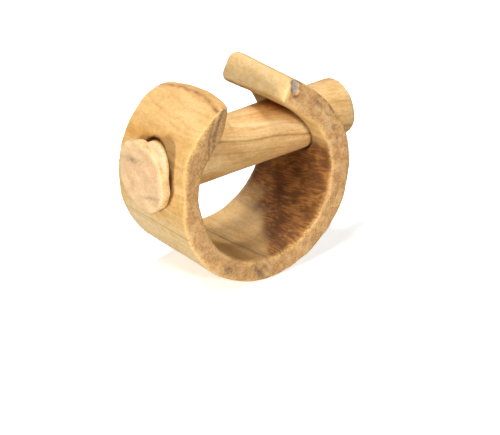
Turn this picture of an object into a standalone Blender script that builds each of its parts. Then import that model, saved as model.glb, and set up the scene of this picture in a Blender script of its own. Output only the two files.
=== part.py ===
"""Wooden ring-and-peg take-apart puzzle, about 60 mm across the ring.

Two loose pieces of wood:
  split_ring   a short, thick C-shaped ring with a sawn gap at the top and one
               round hole drilled straight across both of its side walls
  headed_peg   a one-piece turned peg with a button head, which passes through
               both holes and is drawn out towards its head

Frame: metres, +Z up, +Y along the ring's axis (front face at -Y), +X along the
peg towards its plain tip.  The ring stands on its round side, and the origin is
under the middle of the object's box, on the surface it stands on.
"""
import math

import bmesh
import bpy

MM = 0.001

# ---- ring, all in millimetres, angles in degrees from +X towards +Z ---------
RING_OUTER_R = 29.9         # outer radius of the round part of the ring
RING_INNER_R = 23.2         # inner radius at the bottom
RING_DEPTH = 34.6           # length along the ring's axis
FRONT_EDGE_R = 0.9          # softening of the two front rims
BACK_EDGE_R = 1.5           # softening of the two back rims
RIGHT_TIP_BACK_R = 3.9      # the back rims are worn rounder at the right arm's end
LEFT_SHOULDER_RISE = 3.0    # the left arm stands proud of the circle at the front
LEFT_SHOULDER_FROM = 172.0
LEFT_SHOULDER_TO = 146.0
RIGHT_ARM_RISE = 2.8        # the right arm straightens out towards its end
RIGHT_ARM_FROM = 28.0
RIGHT_ARM_TO = 72.0
RIGHT_WALL_THICKER = 0.6    # the wall is a little thicker beside the right hole
LEFT_WALL_EASE = 1.9        # the bore opens out behind the left arm
RIGHT_MOUTH_EASE = 4.0      # and at the front of the right arm's end

# The gap is sawn a little aslant: each cut is a plane given by a point in the
# front face, the direction of the cut line there, and its lean towards the back.
RIGHT_CUT_POINT = (8.2, 28.4)
RIGHT_CUT_ANGLE = 58.0
RIGHT_CUT_LEAN = 0.110
RIGHT_CUT_BULGE = 0.0
LEFT_CUT_POINT = (-13.4, 24.5)
LEFT_CUT_ANGLE = 76.0
LEFT_CUT_LEAN = 0.0
LEFT_CUT_BULGE = 2.5        # the left arm's end is crowned between front and back
# How each sawn end is worn round towards the outside, the inside, the front
# and the back of the ring.
LEFT_END_ROUND = (3.2, 0.8, 2.2, 5.5)
RIGHT_END_ROUND = (0.8, 0.7, 0.9, 1.4)

# ---- peg --------------------------------------------------------------------
PEG_HEIGHT = 7.95           # peg axis above the ring's axis
PEG_NECK_R = 7.9            # beside the head
PEG_BODY_R = 8.5            # in the middle of the ring
PEG_TIP_R = 8.7             # at the plain end
PEG_TIP_X = 39.0
PEG_TIP_ROUND = 1.7
HEAD_FACE_X = -33.5
HEAD_THICKNESS = 2.9
HEAD_R = 11.4
HEAD_FRONT_ROUND = 1.1
HEAD_BACK_ROUND = 0.8
HEAD_DROP = 0.4             # the button's centre sits a little below the shaft's
HEAD_FORWARD = 0.6          # and a little towards the front
HEAD_CORNER = 3.6           # an unworked corner of the button reaches out this far
HEAD_CORNER_AT = 128.0      # direction of that corner, from +Y towards +Z
HEAD_CORNER_WIDTH = 27.0
HOLE_R = 9.0                # loose hole, the peg turns and slides by hand

# ---- mesh density -----------------------------------------------------------
RING_STEPS = 80
CORNER_STEPS = 4
SIDE_STEPS = 8
END_STEPS = 6
PEG_SEGMENTS = 56
HOLE_SEGMENTS = 64

HALF = RING_DEPTH / 2
CENTRE_X = -(PEG_TIP_X + HEAD_FACE_X) / 2   # ring axis, seen from the origin
CENTRE_Z = RING_OUTER_R                     # the ring stands on its round side


def clamp01(t):
    return max(0.0, min(1.0, t))


def smooth(t):
    t = clamp01(t)
    return t * t * (3 - 2 * t)


def quarter(distance, radius):
    """How far a rounded end has drawn back at this distance from the tip."""
    if distance >= radius:
        return 0.0
    left = radius - max(distance, 0.0)
    return radius - math.sqrt(max(radius * radius - left * left, 0.0))


# ---- the ring's hand-shaped outline -----------------------------------------
# theta runs from the right arm's end (about +70) down through the bottom (-90)
# and up to the left arm's end (about -240).  depth is 0 at the front, 1 behind.

def outer_radius(theta, depth):
    left = smooth((LEFT_SHOULDER_FROM - (theta + 360)) / (LEFT_SHOULDER_FROM - LEFT_SHOULDER_TO))
    right = clamp01((theta - RIGHT_ARM_FROM) / (RIGHT_ARM_TO - RIGHT_ARM_FROM)) ** 2
    return (RING_OUTER_R + LEFT_SHOULDER_RISE * left * (1 - depth)
            + RIGHT_ARM_RISE * right * (1 - 0.45 * depth))


def inner_radius(theta, depth):
    left = smooth((200 - (theta + 360)) / 45.0)
    beside = smooth((theta + 60) / 50.0)
    mouth = clamp01((theta - 48) / 30.0) ** 2
    return (RING_INNER_R + LEFT_WALL_EASE * left * (1 - 0.5 * depth)
            - RIGHT_WALL_THICKER * (beside * (1 + 0.4 * depth) + 1.4 * depth * smooth((theta - 42) / 22.0))
            + RIGHT_MOUTH_EASE * mouth * (1 - depth))


def right_cut(x, y, z):
    """Signed distance from the right arm's cut, positive on the wood's side."""
    a = math.radians(RIGHT_CUT_ANGLE)
    offset = (x - RIGHT_CUT_POINT[0]) * math.sin(a) - (z - RIGHT_CUT_POINT[1]) * math.cos(a)
    return offset - RIGHT_CUT_LEAN * (y + HALF) + RIGHT_CUT_BULGE * (1 - (y / HALF) ** 2)


def left_cut(x, y, z):
    """Signed distance from the left arm's cut, positive on the wood's side."""
    a = math.radians(LEFT_CUT_ANGLE)
    offset = (x - LEFT_CUT_POINT[0]) * math.sin(a) - (z - LEFT_CUT_POINT[1]) * math.cos(a)
    return LEFT_CUT_LEAN * (y + HALF) + LEFT_CUT_BULGE * (1 - (y / HALF) ** 2) - offset


def place(theta, y, r):
    a = math.radians(theta)
    return (r * math.cos(a), y, r * math.sin(a))


def section(theta):
    """One closed cross-section in (y, radius), its four rims rounded."""
    back_r = BACK_EDGE_R + (RIGHT_TIP_BACK_R - BACK_EDGE_R) * smooth((theta - 30) / 32.0)
    corners = [((-HALF, outer_radius(theta, 0.0)), FRONT_EDGE_R),
               ((HALF, outer_radius(theta, 1.0)), back_r),
               ((HALF, inner_radius(theta, 1.0)), back_r),
               ((-HALF, inner_radius(theta, 0.0)), FRONT_EDGE_R)]
    arcs = []
    for i, ((cy, cr), radius) in enumerate(corners):
        py, pr = corners[i - 1][0]
        ny, nr = corners[(i + 1) % 4][0]
        lp = math.hypot(py - cy, pr - cr)
        ln = math.hypot(ny - cy, nr - cr)
        ay, ar = (py - cy) / lp * radius, (pr - cr) / lp * radius
        by, br = (ny - cy) / ln * radius, (nr - cr) / ln * radius
        arc = []
        for k in range(CORNER_STEPS + 1):
            t = math.pi / 2 * k / CORNER_STEPS
            arc.append((cy + ay + by - by * math.cos(t) - ay * math.sin(t),
                        cr + ar + br - br * math.cos(t) - ar * math.sin(t)))
        arcs.append(arc)
    points = []
    for i, arc in enumerate(arcs):
        points += arc
        y0, r0 = arc[-1]
        y1, r1 = arcs[(i + 1) % 4][0]
        steps = SIDE_STEPS if i in (0, 2) else END_STEPS
        for k in range(1, steps):
            t = 0.5 - 0.5 * math.cos(math.pi * k / steps)
            points.append((y0 + (y1 - y0) * t, r0 + (r1 - r0) * t))
    return points


def spot(theta, k, t):
    """A spot of the section, t of the way from outer point k to its inner partner."""
    points = section(theta)
    outer = (len(points) - 2 * (END_STEPS - 1)) // 2
    (y0, r0), (y1, r1) = points[k], points[2 * outer + END_STEPS - 2 - k]
    return (y0 + (y1 - y0) * t, r0 + (r1 - r0) * t, math.hypot(y1 - y0, r1 - r0))


def end_angle(k, t, right):
    """The angle at which one lengthwise line of the ring meets its worn end."""
    wood, air = (20.0, 88.0) if right else (-200.0, -256.0)
    cut = right_cut if right else left_cut
    to_out, to_in, to_front, to_back = RIGHT_END_ROUND if right else LEFT_END_ROUND
    for _ in range(40):
        mid = (wood + air) / 2
        y, r, width = spot(mid, k, t)
        worn = (quarter(t * width, to_out) + quarter((1 - t) * width, to_in)
                + quarter(y + HALF, to_front) + quarter(HALF - y, to_back))
        if cut(*place(mid, y, r)) > worn:
            wood = mid
        else:
            air = mid
    return wood


def build_ring_mesh():
    """Sweep the section round the C; every line ends on its two worn ends."""
    count = len(section(0.0))
    outer = (count - 2 * (END_STEPS - 1)) // 2       # points on the outer side
    last = 2 * outer + END_STEPS - 2                 # last point on the inner side
    shares = [0.5 - 0.5 * math.cos(math.pi * m / END_STEPS) for m in range(END_STEPS + 1)]

    def address(index):
        """Row and share of a perimeter point."""
        if index < outer:
            return index, 0
        if index < outer + END_STEPS - 1:
            return outer - 1, index - outer + 1
        if index <= last:
            return last - index, END_STEPS
        return 0, count - index

    bm = bmesh.new()

    def vertex(theta, k, m):
        y, r, _ = spot(theta, k, shares[m])
        return bm.verts.new([c * MM for c in place(theta, y, r)])

    where = [address(index) for index in range(count)]
    ends = [(end_angle(k, shares[m], True), end_angle(k, shares[m], False)) for k, m in where]
    loops = []
    for j in range(RING_STEPS + 1):
        u = j / RING_STEPS
        u = u - 0.72 * math.sin(2 * math.pi * u) / (2 * math.pi)   # closer steps at both tips
        loops.append([vertex(start + (end - start) * u, k, m)
                      for (k, m), (start, end) in zip(where, ends)])
    for a, b in zip(loops, loops[1:]):
        for k in range(count):
            n = (k + 1) % count
            bm.faces.new((a[k], a[n], b[n], b[k]))
    # each end is a patch of rows from the outer side of the section to the inner
    for loop, right in ((loops[0], True), (loops[-1], False)):
        rows = [[loop[0]] + [loop[j] for j in range(count - 1, last - 1, -1)]]
        for k in range(1, outer - 1):
            middle = [vertex(end_angle(k, shares[m], right), k, m) for m in range(1, END_STEPS)]
            rows.append([loop[k]] + middle + [loop[last - k]])
        rows.append(loop[outer - 1:outer + END_STEPS])
        for a, b in zip(rows, rows[1:]):
            for m in range(END_STEPS):
                bm.faces.new((a[m], b[m], b[m + 1], a[m + 1]))
    bmesh.ops.recalc_face_normals(bm, faces=bm.faces)
    mesh = bpy.data.meshes.new("split_ring")
    bm.to_mesh(mesh)
    bm.free()
    return mesh


# ---- the peg's turned outline -----------------------------------------------

def shaft_radius(x):
    if x < 0:
        return PEG_NECK_R + (PEG_BODY_R - PEG_NECK_R) * smooth((x + 31.0) / 17.0)
    return PEG_BODY_R + (PEG_TIP_R - PEG_BODY_R) * clamp01(x / PEG_TIP_X)


def peg_stations():
    """(x, radius, share of the head's offset, corner reach) from the head's face to the tip."""
    rows = []
    steps = 5
    for k in range(steps + 1):                      # face edge to the widest rim
        t = math.pi / 2 * k / steps
        rows.append((HEAD_FACE_X + HEAD_FRONT_ROUND * (1 - math.cos(t)),
                     HEAD_R - HEAD_FRONT_ROUND * (1 - math.sin(t)), 1.0, 0.10 * HEAD_CORNER * k / steps))
    rows.append((HEAD_FACE_X + 0.62 * HEAD_THICKNESS, HEAD_R, 1.0, HEAD_CORNER))
    under = HEAD_FACE_X + HEAD_THICKNESS
    for k in range(steps):                          # round into the underside
        t = math.pi / 2 * k / (steps - 1)
        rows.append((under - HEAD_BACK_ROUND * (1 - math.sin(t)),
                     HEAD_R - HEAD_BACK_ROUND * (1 - math.cos(t)), 1.0, HEAD_CORNER))
    fillet = 0.6
    for k in range(4):                              # small fillet down to the neck
        t = math.pi / 2 * k / 3
        x = under + fillet * (1 - math.cos(t))
        rows.append((x, shaft_radius(x) + fillet * (1 - math.sin(t)), 0.0, 0.0))
    start, stop = under + fillet, PEG_TIP_X - PEG_TIP_ROUND
    runs = 10
    for k in range(1, runs):
        x = start + (stop - start) * k / runs
        rows.append((x, shaft_radius(x), 0.0, 0.0))
    for k in range(6):                              # soft edge at the plain tip
        t = math.pi / 2 * k / 5
        rows.append((stop + PEG_TIP_ROUND * math.sin(t),
                     shaft_radius(stop) - PEG_TIP_ROUND * (1 - math.cos(t)), 0.0, 0.0))
    return rows


def build_peg_mesh():
    bm = bmesh.new()
    loops = []
    for x, radius, offset, corner in peg_stations():
        loop = []
        for k in range(PEG_SEGMENTS):
            a = 2 * math.pi * k / PEG_SEGMENTS
            away = (math.degrees(a) - HEAD_CORNER_AT) / HEAD_CORNER_WIDTH
            r = radius + corner * math.exp(-away * away)
            loop.append(bm.verts.new((x * MM, (r * math.cos(a) - offset * HEAD_FORWARD) * MM,
                                      (r * math.sin(a) - offset * HEAD_DROP) * MM)))
        loops.append(loop)
    for a, b in zip(loops, loops[1:]):
        for k in range(PEG_SEGMENTS):
            n = (k + 1) % PEG_SEGMENTS
            bm.faces.new((a[k], a[n], b[n], b[k]))
    bm.faces.new(loops[0])
    bm.faces.new(list(reversed(loops[-1])))
    bmesh.ops.recalc_face_normals(bm, faces=bm.faces)
    mesh = bpy.data.meshes.new("headed_peg")
    bm.to_mesh(mesh)
    bm.free()
    return mesh


def wood(name, colour, roughness):
    mat = bpy.data.materials.new(name)
    mat.use_nodes = True
    shader = mat.node_tree.nodes["Principled BSDF"]
    shader.inputs["Base Color"].default_value = (*colour, 1.0)
    shader.inputs["Roughness"].default_value = roughness
    shader.inputs["Metallic"].default_value = 0.0
    return mat


def add_object(name, mesh, location, material=None):
    obj = bpy.data.objects.new(name, mesh)
    bpy.context.scene.collection.objects.link(obj)
    obj.location = location
    if material:
        mesh.materials.append(material)
    return obj


def main():
    for obj in list(bpy.data.objects):
        bpy.data.objects.remove(obj, do_unlink=True)

    ring_at = (CENTRE_X * MM, 0.0, CENTRE_Z * MM)
    peg_at = (CENTRE_X * MM, 0.0, (CENTRE_Z + PEG_HEIGHT) * MM)

    ring = add_object("split_ring", build_ring_mesh(), ring_at, wood("ring_wood", (0.60, 0.38, 0.18), 0.45))
    peg = add_object("headed_peg", build_peg_mesh(), peg_at, wood("peg_wood", (0.66, 0.43, 0.22), 0.45))

    # drill both walls in one straight pass
    drill_mesh = bpy.data.meshes.new("cross_drill")
    bm = bmesh.new()
    bmesh.ops.create_cone(bm, cap_ends=True, segments=HOLE_SEGMENTS, radius1=HOLE_R * MM,
                          radius2=HOLE_R * MM, depth=90 * MM)
    bm.to_mesh(drill_mesh)
    bm.free()
    drill = add_object("cross_drill", drill_mesh, peg_at)
    drill.rotation_euler = (0.0, math.radians(90), 0.0)
    drill.hide_render = True
    drill.display_type = "WIRE"

    holes = ring.modifiers.new("cross_holes", "BOOLEAN")
    holes.operation = "DIFFERENCE"
    holes.solver = "EXACT"
    holes.object = drill

    for obj in (ring, peg):
        obj.data.shade_smooth()
        obj.data.set_sharp_from_angle(angle=math.radians(35))


main()
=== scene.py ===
"""Looks of the wooden ring-and-peg puzzle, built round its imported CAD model.

Both CAD solids are replaced by finer, hand-worn meshes of the same size, made of
a solid wood that runs through them: long grain along the fibre, pores and
speckles on the end grain.  Shapes are in millimetres and degrees, with the ring's
centre (or the peg's axis) as the origin; angles turn from +X towards +Z.
"""
import math

import bmesh
import bpy
import numpy as np
from mathutils import Matrix, Vector


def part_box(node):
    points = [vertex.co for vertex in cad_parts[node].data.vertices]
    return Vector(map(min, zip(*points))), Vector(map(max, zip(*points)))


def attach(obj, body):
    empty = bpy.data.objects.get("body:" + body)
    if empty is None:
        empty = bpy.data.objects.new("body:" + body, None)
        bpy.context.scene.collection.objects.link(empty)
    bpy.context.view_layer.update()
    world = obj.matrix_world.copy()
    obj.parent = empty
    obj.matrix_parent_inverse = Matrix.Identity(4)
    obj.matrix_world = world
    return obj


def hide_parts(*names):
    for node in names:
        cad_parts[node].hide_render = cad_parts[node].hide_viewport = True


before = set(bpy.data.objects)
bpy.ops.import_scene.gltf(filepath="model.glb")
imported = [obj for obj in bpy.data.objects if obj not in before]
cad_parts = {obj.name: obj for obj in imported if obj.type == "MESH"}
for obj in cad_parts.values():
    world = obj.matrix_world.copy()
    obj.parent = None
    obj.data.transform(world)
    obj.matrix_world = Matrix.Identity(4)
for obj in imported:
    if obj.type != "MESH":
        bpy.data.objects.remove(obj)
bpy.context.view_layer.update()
MM = 0.001

# ---- ring --------------------------------------------------------------------
RING_OUTER_R = 29.9
RING_INNER_R = 23.2
HALF = 17.3                  # half the ring's length; its front face is at -HALF
FRONT_EDGE_R = 0.9
BACK_EDGE_R = 1.5
RIGHT_TIP_BACK_R = 3.9       # the back rims are worn rounder at the right arm's end
LEFT_SHOULDER_RISE = 3.0     # the left arm stands proud of the circle at the front
LEFT_SHOULDER_FROM, LEFT_SHOULDER_TO = 172.0, 146.0
RIGHT_ARM_RISE = 2.8         # the right arm straightens out towards its end
RIGHT_ARM_FROM, RIGHT_ARM_TO = 28.0, 72.0
RIGHT_WALL_THICKER = 0.6
LEFT_WALL_EASE = 1.9         # the bore opens out behind the left arm
RIGHT_MOUTH_EASE = 4.0       # and at the front of the right arm's end
HOLE_R = 9.05
PEG_HEIGHT = 7.95            # peg axis above the ring's axis

# Each sawn end is a plane through a point of the front face, at an angle, leaning towards
# the back, crowned by its bulge; wear is its rounding to the outside, inside, front and back.
RIGHT_CUT = dict(point=(8.2, 28.4), angle=58.0, lean=-0.110, bulge=0.0, side=1,
                 wear=(0.8, 0.7, 0.9, 1.4))
LEFT_CUT = dict(point=(-13.4, 24.5), angle=76.0, lean=0.0, bulge=2.5, side=-1,
                wear=(3.2, 0.8, 2.2, 5.5))

# hand-worn undulation: height, seed, wavelength, stretch along the fibre
RING_RIPPLES = ((0.10, 11, 17.0, 1.8), (0.045, 12, 6.5, 2.5), (0.02, 13, 2.6, 3.0))
RING_EDGE_LOSS = 0.12
CHIP_AT = np.array([10.6, -17.3, 28.5])      # in the right arm's front outer corner
CHIP_REACH = np.array([1.3, 1.6, 2.7])
CHIP_PUSH = np.array([0.20, 0.85, -0.20])

# ---- peg ---------------------------------------------------------------------
PEG_NECK_R = 7.9
PEG_BODY_R = 8.5
PEG_TIP_R = 8.7
PEG_TIP_X = 39.0
PEG_TIP_ROUND = 1.7
NECK_FILLET = 0.6
HEAD_FACE_X = -33.5
HEAD_THICKNESS = 2.9
HEAD_R = 11.4
HEAD_FRONT_EDGE = 1.1
HEAD_BACK_EDGE = 0.8
HEAD_DROP = 0.4              # the head sits a little off the shaft's axis
HEAD_FORWARD = 0.6
HEAD_CORNER = 3.6            # unworked corner of the head, by its reach, angle and width
HEAD_CORNER_AT = 128.0
HEAD_CORNER_WIDTH = 27.0
HEAD_DENTS = ((0.9, 84.0, 30.0), (0.8, 99.0, 5.0))   # depth, angle, width: flat top and notch

PEG_RIPPLES = ((0.05, 31, 16.0, 2.5), (0.03, 32, 4.5, 4.0))
HEAD_RIPPLE = 0.14
PEG_EDGE_LOSS = 0.10

VOXEL = 0.34                 # mesh spacing of the finished pieces
CENTRE = Vector((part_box("headed_peg")[1].x - PEG_TIP_X * MM, 0.0, RING_OUTER_R * MM))
PEG_AXIS = CENTRE + Vector((0.0, 0.0, PEG_HEIGHT * MM))

# ---- marks -------------------------------------------------------------------
# Dark lines that follow the fibre: angle round the piece, degrees of drift for
# each millimetre along it, width in degrees, strength.
OUTER_LINES = ((197.5, 0.05, 0.50, 0.60), (200.5, -0.03, 0.45, 0.35), (186.5, 0.10, 0.40, 0.25),
               (228.0, 0.05, 0.70, 0.22))
BORE_LINES = ((260.8, -0.33, 1.5, 1.0), (264.6, -0.30, 0.8, 0.6), (277.0, -0.20, 0.9, 0.3))
PEG_LINES = ((24.0, -1.25, 2.6, 0.90), (-0.5, -1.45, 2.2, 0.50), (44.0, -1.1, 1.6, 0.22),
             (-24.0, -1.2, 2.4, 0.25), (78.0, -1.2, 2.4, 0.25), (140.0, -1.2, 2.4, 0.30))


# ---- small helpers -----------------------------------------------------------

def smooth(t):
    t = np.clip(t, 0.0, 1.0)
    return t * t * (3 - 2 * t)


def rise(value, start, end):
    """Soft step from 0 at start to 1 at end, whichever is the larger."""
    return smooth((value - start) / (end - start))


def bell(d, width):
    return np.exp(-(d / width) ** 2)


def quarter(distance, radius):
    """How far a rounded end has drawn back at this distance from its edge."""
    left = radius - np.clip(distance, 0.0, radius)
    return radius - np.sqrt(np.maximum(radius * radius - left * left, 0.0))


def waves(points, seed, length, count=9, stretch=(1.0, 1.0, 1.0)):
    """Smooth seeded undulation between about -1 and 1; length is its typical wavelength in mm."""
    rng = np.random.default_rng(seed)
    total = np.zeros(len(points))
    for _ in range(count):
        way = rng.normal(size=3)
        way /= np.linalg.norm(way)
        k = 2 * math.pi / (length * rng.uniform(0.7, 1.5)) * way / np.array(stretch)
        total += np.sin(points @ k + rng.uniform(0, 2 * math.pi))
    return total / math.sqrt(count)


def mesh_from(name, vertices, faces):
    mesh = bpy.data.meshes.new(name)
    mesh.from_pydata(vertices, [], faces)
    mesh.validate()
    mesh.update()
    return mesh


def linked(data, name=None):
    """A new object of the scene with this mesh, lamp or camera data."""
    obj = bpy.data.objects.new(name or data.name, data)
    bpy.context.scene.collection.objects.link(obj)
    return obj


def baked(obj):
    """The object's mesh with its modifiers applied; the object is removed."""
    bpy.context.view_layer.update()
    mesh = bpy.data.meshes.new_from_object(obj.evaluated_get(bpy.context.evaluated_depsgraph_get()))
    bpy.data.objects.remove(obj)
    return mesh


def ripples(points, rows, axis):
    """Sum of undulations stretched along one axis."""
    total = 0.0
    for height, seed, length, along in rows:
        stretch = np.ones(3)
        stretch[axis] = along
        total = total + height * waves(points, seed, length, stretch=stretch)
    return total


def fibre_lines(rows, angle, along, drift):
    return sum(strength * bell(angle - at - slope * along - drift, width)
               for at, slope, width, strength in rows)


# ---- ring shape --------------------------------------------------------------
# theta is the angle round the ring, depth runs from 0 at its front to 1 at its back

def outer_radius(theta, depth):
    left = rise(theta + 360, LEFT_SHOULDER_FROM, LEFT_SHOULDER_TO)
    right = np.clip((theta - RIGHT_ARM_FROM) / (RIGHT_ARM_TO - RIGHT_ARM_FROM), 0, 1) ** 2
    return (RING_OUTER_R + LEFT_SHOULDER_RISE * left * (1 - depth)
            + RIGHT_ARM_RISE * right * (1 - 0.45 * depth))


def inner_radius(theta, depth):
    left = rise(theta + 360, 200, 155)
    beside = rise(theta, -60, -10)
    mouth = np.clip((theta - 48) / 30.0, 0, 1) ** 2
    return (RING_INNER_R + LEFT_WALL_EASE * left * (1 - 0.5 * depth)
            - RIGHT_WALL_THICKER * (beside * (1 + 0.4 * depth) + 1.4 * depth * rise(theta, 42, 64))
            + RIGHT_MOUTH_EASE * mouth * (1 - depth))


def cut_distance(cut, x, y, z):
    """Signed distance from a sawn end, positive on the wood's side."""
    a = math.radians(cut["angle"])
    offset = (x - cut["point"][0]) * math.sin(a) - (z - cut["point"][1]) * math.cos(a)
    return cut["side"] * offset + cut["lean"] * (y + HALF) + cut["bulge"] * (1 - (y / HALF) ** 2)


CORNER, SIDE, END = 6, 70, 16      # steps round a rim, along the ring's length, through its wall
AROUND = 360                       # steps round the ring
OUTER_COUNT = 2 * (CORNER + 1) + SIDE - 1      # points of a section's outer side, rims included
COUNT = 2 * OUTER_COUNT + 2 * (END - 1)        # points of a whole section


def section(theta):
    """Closed cross-sections in (y, radius), one row for each angle, their four rims rounded."""
    front_r = np.full(theta.shape, FRONT_EDGE_R)
    back_r = BACK_EDGE_R + (RIGHT_TIP_BACK_R - BACK_EDGE_R) * rise(theta, 30, 62)
    corners = [(-HALF, outer_radius(theta, 0.0), front_r), (HALF, outer_radius(theta, 1.0), back_r),
               (HALF, inner_radius(theta, 1.0), back_r), (-HALF, inner_radius(theta, 0.0), front_r)]
    turn = np.linspace(0, math.pi / 2, CORNER + 1)
    to_last, to_next = 1 - np.sin(turn), 1 - np.cos(turn)
    arcs = []
    for i, (cy, cr, radius) in enumerate(corners):
        both = []
        for py, pr, _ in (corners[i - 1], corners[(i + 1) % 4]):
            length = np.hypot(py - cy, pr - cr)
            both.append(((py - cy) / length * radius, (pr - cr) / length * radius))
        (ay, ar), (by, br) = both
        arcs.append((cy + ay[:, None] * to_last + by[:, None] * to_next,
                     cr[:, None] + ar[:, None] * to_last + br[:, None] * to_next))
    ys, rs = [], []
    for i, (y, r) in enumerate(arcs):
        y1, r1 = arcs[(i + 1) % 4]
        steps = SIDE if i in (0, 2) else END
        share = np.arange(1, steps) / steps
        ys += [y, y[:, -1:] + (y1[:, :1] - y[:, -1:]) * share]
        rs += [r, r[:, -1:] + (r1[:, :1] - r[:, -1:]) * share]
    return np.concatenate(ys, 1), np.concatenate(rs, 1)


def spot(theta, k, share):
    """Points of the sections, share of the way from outer point k to its inner partner."""
    y, r = section(theta)
    row = np.arange(len(theta))
    partner = 2 * OUTER_COUNT + END - 2 - k
    y0, r0, y1, r1 = y[row, k], r[row, k], y[row, partner], r[row, partner]
    return y0 + (y1 - y0) * share, r0 + (r1 - r0) * share, np.hypot(y1 - y0, r1 - r0)


def place(theta, y, r):
    a = np.radians(theta)
    return np.stack([r * np.cos(a), y, r * np.sin(a)], -1)


def end_angles(cut, k, share):
    """The angle at which each lengthwise line of the ring meets its worn end."""
    wood = np.full(len(k), 20.0 if cut["side"] > 0 else -200.0)
    air = np.full(len(k), 88.0 if cut["side"] > 0 else -256.0)
    to_out, to_in, to_front, to_back = cut["wear"]
    for _ in range(26):
        mid = (wood + air) / 2
        y, r, width = spot(mid, k, share)
        worn = (quarter(share * width, to_out) + quarter((1 - share) * width, to_in)
                + quarter(y + HALF, to_front) + quarter(HALF - y, to_back))
        inside = cut_distance(cut, *place(mid, y, r).T) > worn
        wood, air = np.where(inside, mid, wood), np.where(inside, air, mid)
    return wood


def ring_sweep():
    """The ring before its holes are drilled: a swept section with two worn end patches."""
    last = 2 * OUTER_COUNT + END - 2
    rows, steps = np.meshgrid(np.arange(OUTER_COUNT), np.arange(END + 1), indexing="ij")
    grid_k, grid_m = rows.ravel(), steps.ravel()
    ends = [end_angles(cut, grid_k, grid_m / END).reshape(OUTER_COUNT, END + 1)
            for cut in (RIGHT_CUT, LEFT_CUT)]
    address = ([(k, 0) for k in range(OUTER_COUNT)] + [(OUTER_COUNT - 1, m) for m in range(1, END)]
               + [(last - i, END) for i in range(OUTER_COUNT + END - 1, last + 1)]
               + [(0, COUNT - i) for i in range(last + 1, COUNT)])
    k = np.array([a[0] for a in address])
    m = np.array([a[1] for a in address])
    start, stop = ends[0][k, m], ends[1][k, m]
    points = []
    for j in range(AROUND + 1):
        theta = start + (stop - start) * j / AROUND
        y, r, _ = spot(theta, k, m / END)
        points.append(place(theta, y, r))
    faces = []
    for j in range(AROUND):
        a, b = j * COUNT, (j + 1) * COUNT
        faces += [(a + i, a + (i + 1) % COUNT, b + (i + 1) % COUNT, b + i) for i in range(COUNT)]
    total = (AROUND + 1) * COUNT
    for which, first in ((0, 0), (1, AROUND * COUNT)):
        inner_k, inner_m = rows[1:-1, 1:-1].ravel(), steps[1:-1, 1:-1].ravel()
        theta = ends[which][inner_k, inner_m]
        y, r, _ = spot(theta, inner_k, inner_m / END)
        points.append(place(theta, y, r))
        index = np.zeros((OUTER_COUNT, END + 1), int)
        index[1:-1, 1:-1] = total + np.arange(len(inner_k)).reshape(OUTER_COUNT - 2, END - 1)
        for i, (row, step) in enumerate(address):
            index[row, step] = first + i
        total += len(inner_k)
        patch = []
        for a in range(OUTER_COUNT - 1):
            patch += [(index[a, c], index[a + 1, c], index[a + 1, c + 1], index[a, c + 1])
                      for c in range(END)]
        faces += [tuple(map(int, f if which else f[::-1])) for f in patch]
    return np.concatenate(points), faces


# ---- peg shape ---------------------------------------------------------------

def shaft_radius(x):
    neck = PEG_NECK_R + (PEG_BODY_R - PEG_NECK_R) * rise(x, -31.0, -14.0)
    return np.where(x < 0, neck, PEG_BODY_R + (PEG_TIP_R - PEG_BODY_R) * np.clip(x / PEG_TIP_X, 0, 1))


def peg_lathe():
    """The peg about its own axis, with the head's unworked corner."""
    # rows of (x, radius, share of the head's offset, reach of the corner)
    rows = [(HEAD_FACE_X, HEAD_R * s, 1.0, 0.0) for s in np.linspace(0.03, 0.86, 12)]
    for t in np.linspace(0, math.pi / 2, 8):
        rows.append((HEAD_FACE_X + HEAD_FRONT_EDGE * (1 - math.cos(t)),
                     HEAD_R - HEAD_FRONT_EDGE * (1 - math.sin(t)), 1.0,
                     0.10 * HEAD_CORNER * t / (math.pi / 2)))
    under = HEAD_FACE_X + HEAD_THICKNESS
    rows += [(HEAD_FACE_X + s * HEAD_THICKNESS, HEAD_R, 1.0, HEAD_CORNER * c)
             for s, c in ((0.46, 0.40), (0.54, 0.70), (0.62, 1.0))]
    for t in np.linspace(0, math.pi / 2, 6):
        rows.append((under - HEAD_BACK_EDGE * (1 - math.sin(t)),
                     HEAD_R - HEAD_BACK_EDGE * (1 - math.cos(t)), 1.0, HEAD_CORNER))
    for t in np.linspace(0, math.pi / 2, 5):
        x = under + NECK_FILLET * (1 - math.cos(t))
        rows.append((x, float(shaft_radius(x)) + NECK_FILLET * (1 - math.sin(t)), 0.0, 0.0))
    stop = PEG_TIP_X - PEG_TIP_ROUND
    rows += [(x, float(shaft_radius(x)), 0.0, 0.0)
             for x in np.linspace(under + NECK_FILLET, stop, 60)[1:-1]]
    for t in np.linspace(0, math.pi / 2, 9):
        rows.append((stop + PEG_TIP_ROUND * math.sin(t),
                     float(shaft_radius(stop)) - PEG_TIP_ROUND * (1 - math.cos(t)), 0.0, 0.0))
    rows += [(PEG_TIP_X, 7.0 * s, 0.0, 0.0) for s in np.linspace(0.9, 0.04, 10)]
    segments = 160
    a = 2 * math.pi * np.arange(segments) / segments
    points = []
    for x, radius, offset, corner in rows:
        r = radius + corner * bell(np.degrees(a) - HEAD_CORNER_AT, HEAD_CORNER_WIDTH)
        dents = sum(depth * bell(np.degrees(a) - at, width) for depth, at, width in HEAD_DENTS)
        r = r - offset * dents * radius / HEAD_R
        points.append(np.stack([np.full(segments, x), r * np.cos(a) - offset * HEAD_FORWARD,
                                r * np.sin(a) - offset * HEAD_DROP], -1))
    faces = []
    for j in range(len(rows) - 1):
        p, q = j * segments, (j + 1) * segments
        faces += [(p + i, p + (i + 1) % segments, q + (i + 1) % segments, q + i) for i in range(segments)]
    faces.append(tuple(range(segments)))
    faces.append(tuple(reversed(range((len(rows) - 1) * segments, len(rows) * segments))))
    return np.concatenate(points), faces


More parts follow.
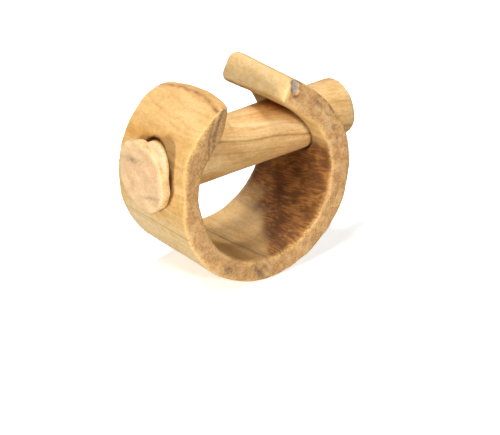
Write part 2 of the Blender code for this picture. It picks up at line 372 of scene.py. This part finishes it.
# ---- finishing a mesh --------------------------------------------------------

class Skin:
    """A fine even mesh of a piece, with the numpy tools that wear and mark it."""

    def __init__(self, name, blank, drill=None):
        points, faces = blank
        obj = linked(mesh_from(name + "_blank", points.tolist(), faces))
        face_outwards(obj.data)
        if drill is not None:
            hole = obj.modifiers.new("holes", "BOOLEAN")
            hole.operation, hole.solver, hole.object = "DIFFERENCE", "EXACT", drill
        even = obj.modifiers.new("even", "REMESH")
        even.mode, even.voxel_size, even.adaptivity = "VOXEL", VOXEL, 0.0
        self.mesh = baked(obj)
        self.mesh.name = name
        if drill is not None:
            bpy.data.objects.remove(drill)
        n = len(self.mesh.vertices)
        flat = np.zeros(n * 3)
        self.mesh.vertices.foreach_get("co", flat)
        self.p = flat.reshape(-1, 3)
        edges = np.zeros(len(self.mesh.edges) * 2, int)
        self.mesh.edges.foreach_get("vertices", edges)
        self.e = edges.reshape(-1, 2)
        self.degree = np.bincount(self.e.ravel(), minlength=n).astype(float)

    def spread(self, values):
        """Mean of each vertex's neighbours."""
        values = values if values.ndim == 2 else values[:, None]
        a, b = self.e.T
        out = np.stack([np.bincount(a, v[b], len(v)) + np.bincount(b, v[a], len(v)) for v in values.T], -1)
        return (out / self.degree[:, None]).squeeze()

    def relax(self, times, weight=1.0):
        weight = np.broadcast_to(weight, len(self.p))[:, None]
        for _ in range(times):
            self.p = self.p + 0.5 * weight * (self.spread(self.p) - self.p)

    def normals(self):
        self.mesh.vertices.foreach_set("co", self.p.ravel())
        self.mesh.update()
        flat = np.zeros(len(self.p) * 3)
        self.mesh.vertex_normals.foreach_get("vector", flat)
        return flat.reshape(-1, 3)

    def push(self, amount):
        self.p = self.p + self.normals() * np.asarray(amount)[:, None]

    def crest(self, passes):
        """Positive on convex edges, negative in hollows, spread over a few steps."""
        bend = -np.einsum("ij,ij->i", self.spread(self.p) - self.p, self.normals())
        for _ in range(passes):
            bend = 0.5 * bend + 0.5 * self.spread(bend)
        return bend

    def rims(self):
        """1 on sharp edges, 0 on flat faces."""
        return np.clip(self.crest(3) / 0.02, 0, 1)

    def worn(self, seed, length):
        """Uneven rubbing of the convex edges, which also carries a painted edge highlight."""
        return np.clip(self.crest(5) / 0.016, 0, 1) * (0.75 + 0.25 * waves(self.p, seed, length))

    def mark(self, name, values):
        layer = self.mesh.attributes.new(name, "FLOAT", "POINT")
        layer.data.foreach_set("value", np.clip(values, 0, 1).astype(np.float32))

    def finish(self, name, place_at, material, body, node):
        self.normals()
        self.mesh.transform(Matrix.Diagonal((MM, MM, MM, 1.0)))
        self.mesh.shade_smooth()
        self.mesh.materials.clear()
        self.mesh.materials.append(material)
        obj = linked(self.mesh, name)
        obj.location = place_at
        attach(obj, body)
        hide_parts(node)


def face_outwards(mesh):
    """Turn all faces of a closed mesh outwards."""
    bm = bmesh.new()
    bm.from_mesh(mesh)
    bmesh.ops.recalc_face_normals(bm, faces=bm.faces)
    bm.to_mesh(mesh)
    bm.free()


def drill_tool():
    """A long cylinder on the peg's axis, which cuts both cross holes."""
    n = 144
    turn = 2 * math.pi * np.arange(n) / n
    rim = np.stack([np.cos(turn) * HOLE_R, np.sin(turn) * HOLE_R + PEG_HEIGHT], -1)
    tube = [(x, y, z) for x in (-45.0, 45.0) for y, z in rim]
    walls = [(i, (i + 1) % n, n + (i + 1) % n, n + i) for i in range(n)]
    caps = [tuple(reversed(range(n))), tuple(range(n, 2 * n))]
    drill = linked(mesh_from("drill", tube, walls + caps))
    face_outwards(drill.data)
    return drill


def wear_ring(skin):
    """Soften, wear and chip the ring; returns each vertex's angle, radius and reach from the chip."""
    y, z = skin.p.T[1:]
    hole_rim = bell(np.abs(np.hypot(y, z - PEG_HEIGHT) - HOLE_R), 1.1)
    skin.relax(3)
    skin.relax(8, hole_rim)
    x, y, z = skin.p.T
    theta, radius = np.degrees(np.arctan2(z, x)), np.hypot(x, z)
    clear = rise(np.hypot(y, z - PEG_HEIGHT) - HOLE_R, 0.2, 2.2)
    skin.push(clear * ripples(skin.p, RING_RIPPLES, 1))
    skin.push(-RING_EDGE_LOSS * skin.rims() * clear * np.clip(waves(skin.p, 14, 5.0) + 0.2, 0, 2))
    off_chip = np.sqrt((((skin.p - CHIP_AT) / CHIP_REACH) ** 2).sum(1))
    skin.p = skin.p + rise(off_chip, 1.05, 0.65)[:, None] * CHIP_PUSH
    skin.p[:, 2] = np.maximum(skin.p[:, 2], -RING_OUTER_R)
    return theta, radius, off_chip


class RingSpots:
    """Where each vertex of the worn ring lies, for placing its marks."""

    def __init__(self, skin, theta, radius, off_chip):
        self.p = skin.p
        self.x, self.y, self.z = skin.p.T
        self.normal = skin.normals()
        self.theta, self.radius, self.off_chip = theta, radius, off_chip
        self.full = np.where(theta < 0, theta + 360, theta)      # theta from 0 to 360
        self.end_left = cut_distance(LEFT_CUT, *skin.p.T)
        self.end_right = cut_distance(RIGHT_CUT, *skin.p.T)
        outward = (self.normal[:, 0] * self.x + self.normal[:, 2] * self.z) / np.maximum(radius, 1e-6)
        self.outside = rise(outward, 0.2, 0.6) * (radius > 27.0)
        self.bore = rise(-outward, 0.2, 0.6) * (radius < 27.5)
        self.wander = (1.3 * waves(skin.p, 16, 30.0, stretch=(1, 0.7, 1))
                       + 0.35 * waves(skin.p, 17, 7.0, stretch=(1, 0.8, 1)))
        # beside the left arm's end: the worn strip and how far each vertex is from its middle
        self.by_end = self.outside * rise(theta, 60, 80) * (np.abs(self.y) < 16.6)
        self.strip = (self.end_left - 3.4 + 0.03 * self.y
                      + 0.25 * waves(skin.p, 18, 8.0) + 0.10 * waves(skin.p, 21, 2.5))


def ring_warmth_and_shade(s):
    """Orange bands above the head's hole, painted shade toning down the upper outside, and the warm strip at
    the left arm's end.
    """
    band = (bell(s.full - 148.0 - 0.22 * s.y - 1.2 * s.wander, 4.6) * rise(s.y, -17, -1)
            + 0.45 * bell(s.full - 157.0 - 0.2 * s.y - 1.4 * s.wander, 3.0) * rise(s.y, -4, 6))
    # the 0.14 term over the upper outside is painted shade
    band = band * (0.88 + 0.35 * waves(s.p, 25, 3.2, stretch=(1, 2.4, 1))) + 0.14 * rise(s.full, 152, 142)
    return band * s.outside + s.by_end * (0.8 * bell(s.strip, 0.7) + 0.25 * (s.strip < 0))


def ring_figure_and_shade(s):
    """The dark brown right side of the bore, and its half-dark bottom at the front: wood figure laid where
    shadow falls in the bore, so it is partly painted shade; lighter at the back, where light comes in.
    """
    slant = np.where(s.y < 4, 1.35 * (s.y + 17), 28.0)
    dark = rise(s.theta - slant + 2.0 * s.wander, -98, -86)
    dark = dark * (1 - 0.40 * rise(s.y, 5, 9) * rise(s.theta, -38, -52)) * (s.theta > -104)
    bottom = 0.42 * rise(s.y + 0.14 * (s.theta + 100) - 1.5 * s.wander, -1, -7) * rise(s.theta, -138, -124)
    return s.bore * np.maximum(dark, bottom) * rise(s.theta + 0.5 * (s.y + 17), 27, 9)


def ring_bleach_and_light(s):
    """Paler colour, mostly painted light: bounce light on the lower left outside, light from above on the
    right sawn face and its front corner, and the lit patch at the bore's left.
    """
    bare_and_lit = 0.85 * s.outside * rise(s.full, 184, 198) * rise(s.full, 262, 236)
    bare_and_lit += 0.55 * rise(s.end_right, 1.6, 0.8) * (np.abs(s.normal[:, 1]) < 0.5) * (s.x > 4)
    bare_and_lit += (0.70 * rise(s.end_right, 2.4, 1.6) * rise(s.y, -15.2, -16.4) * (s.x > 4)
             * rise(s.off_chip, 1.3, 1.7))
    bare_and_lit += 0.22 * s.bore * rise(s.y, -2, 6) * rise(s.theta, -50, -62) * rise(s.theta, -112, -100)
    return bare_and_lit * np.clip(0.8 + 0.3 * waves(s.p, 20, 14.0), 0, 1)


def ring_stain_and_shade(s):
    """Brown dirt on the left arm's strip and broken corner, painted shade at both hole rims (the gap under
    the head and where the peg goes into the right wall), and darker round the chip.
    """
    stain_and_shade = s.by_end * bell(s.strip, 0.36) * np.clip(0.48 + 0.24 * waves(s.p, 19, 3.0), 0, 1)
    broken = np.sqrt((s.x + 15.2) ** 2 + ((s.y + 16.0) * 0.8) ** 2 + (s.z - 29.0) ** 2)
    stain_and_shade += 0.75 * bell(broken, 1.5) * np.clip(0.5 + waves(s.p, 23, 1.6), 0, 1)
    under_head = np.hypot(s.y + HEAD_FORWARD, s.z - PEG_HEIGHT + HEAD_DROP)
    # painted shadow in the gap between the head's underside and the ring's wall
    stain_and_shade += 0.90 * rise(under_head, 10.3, 9.6) * (s.x < -20) * s.outside
    # painted contact shade round the peg where it goes into the right wall
    stain_and_shade += 0.65 * rise(np.hypot(s.y, s.z - PEG_HEIGHT), 10.2, 9.4) * (s.x > 15)
    stain_and_shade += bell(s.theta - 66.5, 2.8) * bell(s.radius - 32.4, 0.9) * (s.y < -15.0)
    stain_and_shade += 1.1 * bell(s.off_chip - 1.04, 0.28) * np.clip(0.55 + 0.6 * waves(s.p, 26, 2.2), 0, 1)
    return stain_and_shade


def ring_dusk(s):
    """Where the end grain of the front face is darker: the left side and the bottom."""
    return np.clip(0.9 * rise(s.full, 100, 112) * rise(s.full, 196, 166)
                   + 0.7 * bell(s.full - 258, 26.0) + 0.25 * waves(s.p, 22, 9.0), 0, 1)


def ring_smudges_and_shade(s):
    """Grey-brown marks on the front face, and painted shade along the worn inner edge at the left arm's tip.
    """
    turned = s.full - 256.0 - 1.5 * (s.radius - 24.5)             # two streaks at the bottom
    smudge_and_shade = (1.2 * bell(turned, 2.6) * bell(s.radius - 27.0, 2.6)
              + 0.8 * bell(turned - 7.0, 1.6) * bell(s.radius - 26.0, 2.0))
    smudge_and_shade += 0.7 * bell(np.hypot(s.x + 15.0, s.z + 22.5), 1.9)   # a spot at the lower left
    arc = s.radius - 25.5 - 0.0617 * (s.theta - 8)                # broken arcs on the right arm
    smudge_and_shade += (1.3 * (bell(arc, 0.6) + 0.7 * bell(arc - 1.9, 0.45)) * bell(s.theta - 38, 22.0)
               * np.clip(0.35 + 0.85 * waves(s.p, 24, 2.4), 0, 1))
    # painted shade along the worn inner edge at the left arm's tip
    streak = s.radius - 25.8 - 0.346 * (137 - s.full)             # streaks at the left arm's tip
    smudge_and_shade += ((1.2 * bell(streak, 0.75) + 0.8 * bell(streak - 2.2, 0.55)) * rise(s.full, 150, 140)
               * (s.full > 100))
    return smudge_and_shade * (s.normal[:, 1] < -0.6)


def make_ring(material):
    skin = Skin("ring_skin", ring_sweep(), drill_tool())
    s = RingSpots(skin, *wear_ring(skin))
    skin.mark("end_grain", rise(np.abs(s.normal[:, 1]), 0.55, 0.90))
    # worn edges take the rubbed colour, partly a painted edge highlight
    skin.mark("worn", skin.worn(15, 4.0) * rise(s.off_chip, 1.2, 1.7))
    skin.mark("chip", rise(s.off_chip, 1.05, 0.65) * rise(s.off_chip, 1.0, 0.7))
    skin.mark("warm_band_and_shade", ring_warmth_and_shade(s))
    skin.mark("dark_line", fibre_lines(OUTER_LINES, s.full, s.y, 0.7 * s.wander) * s.outside
              + fibre_lines(BORE_LINES, s.full, s.y, 0.9 * s.wander) * s.bore)
    skin.mark("figure_and_shade", ring_figure_and_shade(s))
    skin.mark("bleached_and_lit", ring_bleach_and_light(s))
    skin.mark("stain_and_shade", ring_stain_and_shade(s))
    skin.mark("dusk", ring_dusk(s))
    skin.mark("smudge_and_shade", ring_smudges_and_shade(s))
    skin.finish("puzzle_ring", CENTRE, material, "ring", "split_ring")


def make_peg(material):
    skin = Skin("peg_skin", peg_lathe())
    skin.relax(3)
    head = rise(skin.p[:, 0], -30.2, -31.0)
    shaft = 1 - head
    skin.push(shaft * ripples(skin.p, PEG_RIPPLES, 0) + head * HEAD_RIPPLE * waves(skin.p, 33, 6.0))
    skin.push(-PEG_EDGE_LOSS * skin.rims() * np.clip(waves(skin.p, 34, 7.0) + 0.2, 0, 2))
    x, y, z = skin.p.T
    normal = skin.normals()
    around = np.degrees(np.arctan2(z, -y))        # 0 at the front, 90 at the top
    wander = 0.5 * waves(skin.p, 36, 9.0, stretch=(2, 1, 1))
    none = np.zeros(len(x))
    skin.mark("end_grain", rise(np.abs(normal[:, 0]), 0.55, 0.90))
    skin.mark("worn", skin.worn(35, 3.0))
    skin.mark("chip", none)
    skin.mark("figure_and_shade", none)
    skin.mark("dusk", none)
    skin.mark("dark_line", fibre_lines(PEG_LINES, around, x, 4 * wander) * shaft)
    warm_and_shade = 0.35 * bell(around - 8.0 + 1.3 * x - 5 * wander, 7.0)
    # painted shade of the right arm over the peg's top, under the arm
    warm_and_shade += (0.95 * rise(around, 38, 63) * rise(x - 2 * wander, 3, 9) * rise(x, 24, 15)
             * rise(around, 146, 106))            # under the right arm
    warm_and_shade += 0.40 * rise(around - 2 * wander, -4, -20) * rise(around, -134, -104)
    spots = 0.20 + 0.55 * np.clip(waves(skin.p, 37, 4.0) - 0.2, 0, 1)
    skin.mark("warm_band_and_shade", warm_and_shade * shaft + spots * head * (normal[:, 0] > -0.75))
    pale = 0.7 * bell(around - 58.0 + 2.39 * x - 4 * wander, 6.0) * (np.abs(x - 9) < 12)
    skin.mark("bleached_and_lit", pale * shaft)
    # painted shade in the crevice at the neck, between the head and the ring
    skin.mark("stain_and_shade", 0.8 * rise(x, -30.9, -30.5) * rise(x, -29.4, -30.2))       # at the neck
    dy, dz = -y - 0.65, z + 0.3
    smudge_and_shade = bell(np.hypot((dy + 3.6) / 4.2, (dz - 4.6 - 0.15 * dy) / 1.2), 1.0)
    smudge_and_shade += 0.75 * bell(np.hypot((dy - 4.6) / 4.2, (dz + 6.6 - 0.25 * dy) / 0.6), 1.0)
    skin.mark("smudge_and_shade", smudge_and_shade * head * (normal[:, 0] < -0.6))
    skin.finish("puzzle_peg", PEG_AXIS, material, "peg", "headed_peg")


# ---- wood --------------------------------------------------------------------

class Nodes:
    """Short names for building a node tree."""

    def __init__(self, material):
        material.use_nodes = True
        self.tree = material.node_tree
        self.shader = self.tree.nodes["Principled BSDF"]

    def put(self, socket, value):
        if isinstance(value, bpy.types.NodeSocket):
            self.tree.links.new(value, socket)
        elif value is not None:
            short = socket.type == "RGBA" and len(value) == 3
            socket.default_value = (*value, 1.0) if short else value

    def new(self, kind, out=0, settings=(), **inputs):
        """A node's output; inputs are given by name, or by number as i0, i1 and so on."""
        node = self.tree.nodes.new(kind)
        for key, value in dict(settings).items():
            setattr(node, key, value)
        for key, value in inputs.items():
            index = int(key[1:]) if key[0] == "i" and key[1:].isdigit() else key.replace("_", " ")
            self.put(node.inputs[index], value)
        return node.outputs[out]

    def math(self, operation, a, b=None):
        return self.new("ShaderNodeMath", settings={"operation": operation}, i0=a, i1=b)

    def times(self, a, b):
        return self.math("MULTIPLY", a, b)

    def plus(self, a, b):
        return self.math("ADD", a, b)

    def minus(self, a, b):
        return self.math("SUBTRACT", a, b)

    def vector(self, operation, a, b):
        return self.new("ShaderNodeVectorMath", settings={"operation": operation}, i0=a, i1=b)

    def noise(self, vector, scale, detail, rough):
        return self.new("ShaderNodeTexNoise", "Fac", Vector=vector, Scale=scale, Detail=detail,
                        Roughness=rough)

    def stretched(self, vector, frequency, detail, rough):
        """Noise with its own frequency, per millimetre, along each axis."""
        return self.noise(self.vector("MULTIPLY", vector, frequency), 1.0, detail, rough)

    def map(self, value, low, high, to_low=0.0, to_high=1.0):
        return self.new("ShaderNodeMapRange", settings={"interpolation_type": "SMOOTHSTEP"},
                        Value=value, From_Min=low, From_Max=high, To_Min=to_low, To_Max=to_high)

    def mix(self, factor, a, b):
        return self.new("ShaderNodeMix", 2, {"data_type": "RGBA"}, i0=factor, i6=a, i7=b)

    def attribute(self, name):
        return self.new("ShaderNodeAttribute", "Fac", settings={"attribute_name": name})

    def ramp(self, value, *colours):
        """Three colours, evenly spaced from 0 to 1."""
        node = self.tree.nodes.new("ShaderNodeValToRGB")
        self.put(node.inputs[0], value)
        node.color_ramp.elements.new(0.5)
        for i, (element, colour) in enumerate(zip(node.color_ramp.elements, colours)):
            element.position, element.color = 0.5 * i, (*colour, 1.0)
        return node.outputs[0]


class Grain:
    """The solid patterns of a piece of wood, in its own millimetres, fibre along the second axis."""

    def __init__(self, n, turn, pith, lean):
        self.spot = spot_mm = n.new(
            "ShaderNodeMapping", Vector=n.new("ShaderNodeTexCoord", "Object"),
            Rotation=[math.radians(t) for t in turn], Scale=(1 / MM, 1 / MM, 1 / MM))

        def jitter(frequency, reach):
            """Sideways wandering of the fibre, reach in millimetres."""
            colour = n.new("ShaderNodeTexNoise", "Color", Vector=n.vector("MULTIPLY", spot_mm, frequency),
                           Scale=1.0, Detail=2.0)
            return n.vector("MULTIPLY", n.vector("SUBTRACT", colour, (0.5, 0.5, 0.5)), (reach, 0.0, reach))

        warped = n.vector("ADD", spot_mm, jitter((0.050, 0.020, 0.050), 7.0))
        self.warped = warped = n.vector("ADD", warped, jitter((0.20, 0.14, 0.20), 1.6))
        # growth rings round a distant, leaning pith
        parts = n.tree.nodes.new("ShaderNodeSeparateXYZ")
        n.put(parts.inputs[0], warped)
        sides = [n.minus(n.minus(parts.outputs[axis], start), n.times(parts.outputs[1], slope))
                 for axis, start, slope in ((0, pith[0], lean[0]), (2, pith[1], lean[1]))]
        reach = n.math("SQRT", n.plus(*(n.times(side, side) for side in sides)))
        self.season = n.new("ShaderNodeTexNoise", "Fac", settings={"noise_dimensions": "1D"}, W=reach,
                            Scale=0.42, Detail=4.0, Roughness=0.60)
        late = n.math("POWER", n.math("MULTIPLY_ADD", n.math("SINE", n.times(reach, 2.7)), 0.5), 4.0)
        self.late = n.times(late, n.map(self.season, 0.35, 0.65))
        # fibres and pores, drawn out along the grain
        self.fibre = n.stretched(warped, (1.7, 0.10, 1.7), 5.0, 0.62)
        self.hair = n.stretched(warped, (6.5, 0.40, 6.5), 3.0, 0.6)
        cell = n.new("ShaderNodeTexVoronoi", "Distance",
                     Vector=n.vector("MULTIPLY", warped, (2.6, 0.34, 2.6)), Scale=1.0)
        self.pore = n.map(cell, 0.10, 0.24, 1.0, 0.0)
        # patches, large to small
        self.patch = n.stretched(spot_mm, (0.16, 0.07, 0.16), 2.0, 0.5)
        self.cloudy = n.noise(spot_mm, 0.34, 2.0, 0.5)
        self.mottle = n.stretched(spot_mm, (0.75, 0.45, 0.75), 3.0, 0.6)
        self.speckle = n.noise(spot_mm, 1.35, 4.0, 0.68)


def fresh_wood(n, g, tint):
    tone = n.plus(n.times(g.season, 0.40), n.times(g.patch, 0.42))
    tone = n.plus(tone, n.plus(n.times(g.fibre, 0.26), n.times(g.mottle, 0.36)))
    colour = n.ramp(n.map(tone, 0.50, 0.98), tint["pale"], tint["gold"], tint["brown"])
    colour = n.mix(n.times(g.late, 0.20), colour, tint["late"])
    colour = n.mix(n.map(g.hair, 0.50, 0.76, 0.0, 0.20), colour, tint["late"])
    colour = n.mix(n.map(g.speckle, 0.42, 0.66, 0.0, 0.20), colour, tint["late"])
    # warm colour: orange bands and strip, plus painted shade over the ring's top and under the right arm on
    # the peg
    return n.mix(n.times(n.attribute("warm_band_and_shade"), n.map(g.fibre, 0.30, 0.66, 0.55, 1.0)), colour,
                 tint["warm_and_shade"])


def wavy_figure(n, g, tint):
    """Brown figure of the bore, its waves tilted a little from the fibre; where it is laid it also serves as
    painted shade.
    """
    tilted = n.new("ShaderNodeMapping", Vector=g.warped, Rotation=(math.radians(13.0), 0.0, 0.0))
    wavy = n.plus(n.times(n.stretched(tilted, (1.5, 0.17, 1.5), 4.0, 0.62), 0.62),
                  n.times(n.stretched(g.spot, (0.22, 0.16, 0.22), 2.0, 0.5), 0.38))
    return n.ramp(n.map(wavy, 0.34, 0.58), tint["amber"], tint["tan"], tint["deep"])


def end_grain(n, g, tint, colour):
    """Browner than the long grain, speckled by its pores and blotched."""
    dusk = n.attribute("dusk")
    dull = n.mix(n.map(g.speckle, 0.38, 0.62), tint["end_pale"], tint["end_dark"])
    dull = n.mix(n.times(dusk, 0.72), dull,
                 n.mix(n.map(g.speckle, 0.42, 0.58), tint["end_dark"], tint["pore"]))
    blotch = n.times(n.map(g.cloudy, 0.46, 0.64, 0.0, 0.60), n.map(dusk, 0.0, 1.0, 1.0, 0.35))
    dull = n.mix(blotch, dull, n.mix(0.45, tint["end_pale"], tint["bare_and_lit"]))
    dull = n.mix(n.map(g.cloudy, 0.46, 0.36, 0.0, 0.50), dull, tint["end_dark"])
    return n.mix(0.20, dull, colour)


def wear_dirt_and_painted_light(n, g, tint, colour):
    """Rubbed edges, partly a painted edge highlight; dark lines; stain and smudges, partly painted shade; and
    the chip, one over the other.
    """
    # the rubbed colour on worn edges is partly a painted edge highlight
    colour = n.mix(n.times(n.attribute("worn"), n.map(g.speckle, 0.34, 0.62, 0.70, 0.10)), colour,
                   tint["rubbed_and_highlight"])
    broken = n.map(g.fibre, 0.35, 0.65, 0.55, 1.0)
    colour = n.mix(n.times(n.times(n.attribute("dark_line"), broken), 0.9), colour, tint["line"])
    # stain colour: brown dirt, and painted shade in the gaps at the hole rims and at the peg's neck
    colour = n.mix(n.times(n.attribute("stain_and_shade"), n.map(g.speckle, 0.30, 0.70, 1.0, 0.6)), colour,
                   tint["soot_and_shadow"])
    patchy = n.map(g.speckle, 0.3, 0.7, 0.45, 1.0)
    # smudge colour: grey-brown marks, and painted shade at the left arm's tip
    colour = n.mix(n.times(n.times(n.attribute("smudge_and_shade"), patchy), 0.88), colour, tint["smudge_and_shade"])
    return n.mix(n.attribute("chip"), colour, n.mix(n.map(g.speckle, 0.48, 0.74), tint["chip"], tint["line"]))


def wood(name, turn, pith, lean, tint):
    """Solid wood whose fibre lies along the second axis once the piece is turned by these angles."""
    material = bpy.data.materials.new(name)
    n = Nodes(material)
    g = Grain(n, turn, pith, lean)
    end, figure_and_shade, worn = n.attribute("end_grain"), n.attribute("figure_and_shade"), n.attribute("worn")
    # the bore's dark figure, partly painted shade
    colour = n.mix(n.times(figure_and_shade, 0.97), fresh_wood(n, g, tint), wavy_figure(n, g, tint))
    # paler wood, mostly painted light
    colour = n.mix(n.attribute("bleached_and_lit"), colour,
                   n.mix(n.map(g.mottle, 0.35, 0.65), tint["bare_and_lit"], tint["pale"]))
    colour = n.mix(n.times(end, 0.94), colour, end_grain(n, g, tint, colour))
    colour = n.mix(n.times(g.pore, n.math("MULTIPLY_ADD", end, 0.30)), colour, tint["pore"])
    n.put(n.shader.inputs["Base Color"], wear_dirt_and_painted_light(n, g, tint, colour))
    rough = n.plus(n.map(g.hair, 0.3, 0.8, 0.44, 0.58), n.times(n.math("MAXIMUM", end, figure_and_shade), 0.14))
    n.put(n.shader.inputs["Roughness"], n.minus(rough, n.times(worn, 0.08)))
    n.shader.inputs["Specular IOR Level"].default_value = 0.30
    relief = n.minus(n.plus(n.times(g.fibre, 0.7), n.times(g.hair, 0.45)), n.times(g.pore, 0.55))
    relief = n.plus(relief, n.times(n.times(g.speckle, end), 1.1))
    n.put(n.shader.inputs["Normal"],
          n.new("ShaderNodeBump", "Normal", Strength=0.55, Distance=0.00016, Height=relief))
    return material


# Long grain: pale, gold, brown, late, the warm tint (also painted shade), the bare tint (also painted light),
# line.  The bore: amber, tan, deep (also painted shade).
# End grain: end_pale, end_dark, pore.  Wear and dirt: the rubbed tint (also a painted edge highlight), the
# soot tint (also painted shadow in gaps), the smudge tint (also painted shade), chip.
RING_TINT = dict(
    pale=(0.86, 0.585, 0.250), gold=(0.77, 0.480, 0.175), brown=(0.62, 0.350, 0.110),
    late=(0.50, 0.265, 0.085), warm_and_shade=(0.58, 0.265, 0.060), bare_and_lit=(0.90, 0.70, 0.42),
    line=(0.22, 0.14, 0.080), amber=(0.45, 0.200, 0.048), tan=(0.33, 0.125, 0.026),
    deep=(0.155, 0.052, 0.012), end_pale=(0.82, 0.455, 0.185), end_dark=(0.49, 0.225, 0.082),
    pore=(0.27, 0.125, 0.045), rubbed_and_highlight=(0.86, 0.53, 0.16), soot_and_shadow=(0.13, 0.050, 0.016),
    smudge_and_shade=(0.16, 0.105, 0.065), chip=(0.52, 0.45, 0.40))
PEG_TINT = dict(
    pale=(0.89, 0.640, 0.310), gold=(0.83, 0.515, 0.205), brown=(0.60, 0.330, 0.110),
    late=(0.50, 0.265, 0.090), warm_and_shade=(0.51, 0.215, 0.042), bare_and_lit=(0.92, 0.72, 0.42),
    line=(0.33, 0.145, 0.045), amber=(0.66, 0.345, 0.095), tan=(0.44, 0.195, 0.048),
    deep=(0.20, 0.075, 0.020), end_pale=(0.92, 0.630, 0.375), end_dark=(0.80, 0.490, 0.260),
    pore=(0.48, 0.25, 0.105), rubbed_and_highlight=(0.94, 0.70, 0.38), soot_and_shadow=(0.13, 0.050, 0.016),
    smudge_and_shade=(0.30, 0.19, 0.11), chip=(0.66, 0.60, 0.54))

make_ring(wood("ring_wood_fine", (0.0, 0.0, 0.0), (-14.0, -72.0), (0.02, -0.03), RING_TINT))
make_peg(wood("peg_wood_fine", (0.0, -9.8, 99.7), (22.0, -36.0), (0.02, 0.02), PEG_TINT))


# ---- studio ------------------------------------------------------------------
FLOOR = 0.60                 # half the floor's width, metres


def pale_paper():
    material = bpy.data.materials.new("pale_paper")
    n = Nodes(material)
    n.shader.inputs["Roughness"].default_value = 0.9
    n.shader.inputs["Specular IOR Level"].default_value = 0.1
    mottle = n.noise(n.new("ShaderNodeTexCoord", "Object"), 6.0, 2.0, 0.5)
    colour = n.mix(n.map(mottle, 0.3, 0.7), (0.93, 0.93, 0.925), (0.916, 0.916, 0.911))
    n.put(n.shader.inputs["Base Color"], colour)
    n.shader.inputs["Emission Color"].default_value = (1.0, 1.0, 1.0, 1.0)
    n.shader.inputs["Emission Strength"].default_value = 0.47
    return material


corners = [(-FLOOR, -FLOOR, 0), (FLOOR, -FLOOR, 0), (FLOOR, FLOOR, 0), (-FLOOR, FLOOR, 0)]
floor = linked(mesh_from("floor", corners, [(0, 1, 2, 3)]))
floor.data.materials.append(pale_paper())
floor.location.z = -0.00005       # a hair below the ring
floor.visible_diffuse = False
floor.visible_glossy = False
floor.visible_shadow = False      # the light the table throws back comes from lamps below it

# Square soft lamps: direction from the ring, distance and width in metres, and the
# brightness each alone gives a white card that faces it (less where it is very wide).
LAMPS = (
    ("left_key", (-0.980, -0.172, 0.100), 1.00, 0.20, 0.62),
    ("upper_left", (-0.464, -0.313, 0.829), 0.85, 0.16, 0.25),
    ("front_key", (-0.045, -0.950, 0.305), 0.85, 0.12, 0.55),
    ("overhead", (-0.170, 0.000, 0.985), 0.75, 0.12, 0.38),
    ("top_back", (-0.059, 0.370, 0.927), 0.75, 0.07, 0.28),
    ("right_fill", (0.900, 0.280, 0.340), 0.90, 0.45, 0.36),
    ("back_fill", (0.120, 0.960, 0.240), 0.90, 0.45, 0.24),
    ("table_bounce", (-0.620, -0.140, -0.770), 0.60, 0.90, 0.70),
    ("front_bounce", (-0.220, -0.800, -0.550), 0.70, 0.60, 0.22))
for name, towards, distance, size, weight in LAMPS:
    way = Vector(towards).normalized()
    light = bpy.data.lights.new(name, "AREA")
    light.size = size
    light.energy = weight * math.pi ** 2 * distance ** 2
    lamp = linked(light)
    lamp.location = CENTRE + way * distance
    lamp.rotation_euler = way.to_track_quat("Z", "Y").to_euler()
    lamp.visible_camera = False

world = bpy.data.worlds.new("studio")
bpy.context.scene.world = world
world.use_nodes = True
sky = world.node_tree
backdrop = sky.nodes["Background"]
backdrop.inputs[0].default_value = (1.0, 1.0, 1.0, 1.0)
seen = sky.nodes.new("ShaderNodeLightPath")
level = sky.nodes.new("ShaderNodeMapRange")
level.inputs["To Min"].default_value = 0.03       # as light on the pieces
level.inputs["To Max"].default_value = 0.94       # as the background in the picture
sky.links.new(seen.outputs["Is Camera Ray"], level.inputs["Value"])
sky.links.new(level.outputs["Result"], backdrop.inputs[1])

# ---- camera ------------------------------------------------------------------
AZIMUTH, ELEVATION, ROLL = (math.radians(a) for a in (34.98, 26.26, 2.32))
DISTANCE = 1.136             # metres from the ring's centre
VIEW_WIDTH = 0.146456        # metres across the picture, at the ring's centre
AIM_RIGHT = 0.004716         # from the ring's centre to what is in the picture's middle
AIM_DOWN = 0.015085
SENSOR = 36.0

ca, sa = math.cos(AZIMUTH), math.sin(AZIMUTH)
ce, se = math.cos(ELEVATION), math.sin(ELEVATION)
cr, sr = math.cos(ROLL), math.sin(ROLL)
right, up, ahead = Vector((ca, -sa, 0)), Vector((sa * se, ca * se, ce)), Vector((sa * ce, ca * ce, -se))
right, up = right * cr - up * sr, right * sr + up * cr
eye = CENTRE - ahead * DISTANCE
aim = CENTRE + right * AIM_RIGHT - up * AIM_DOWN
forward = (aim - eye).normalized()
side = forward.cross(up).normalized()
top = side.cross(forward)
camera_data = bpy.data.cameras.new("camera")
camera_data.sensor_width = SENSOR
camera_data.lens = SENSOR * DISTANCE / VIEW_WIDTH
camera_data.clip_start, camera_data.clip_end = 0.05, 50.0
camera = linked(camera_data)
camera.matrix_world = Matrix((
    (side.x, top.x, -forward.x, eye.x), (side.y, top.y, -forward.y, eye.y),
    (side.z, top.z, -forward.z, eye.z), (0, 0, 0, 1)))
bpy.context.scene.camera = camera
bpy.context.scene.view_settings.view_transform = "Standard"
bpy.context.scene.view_settings.look = "None"
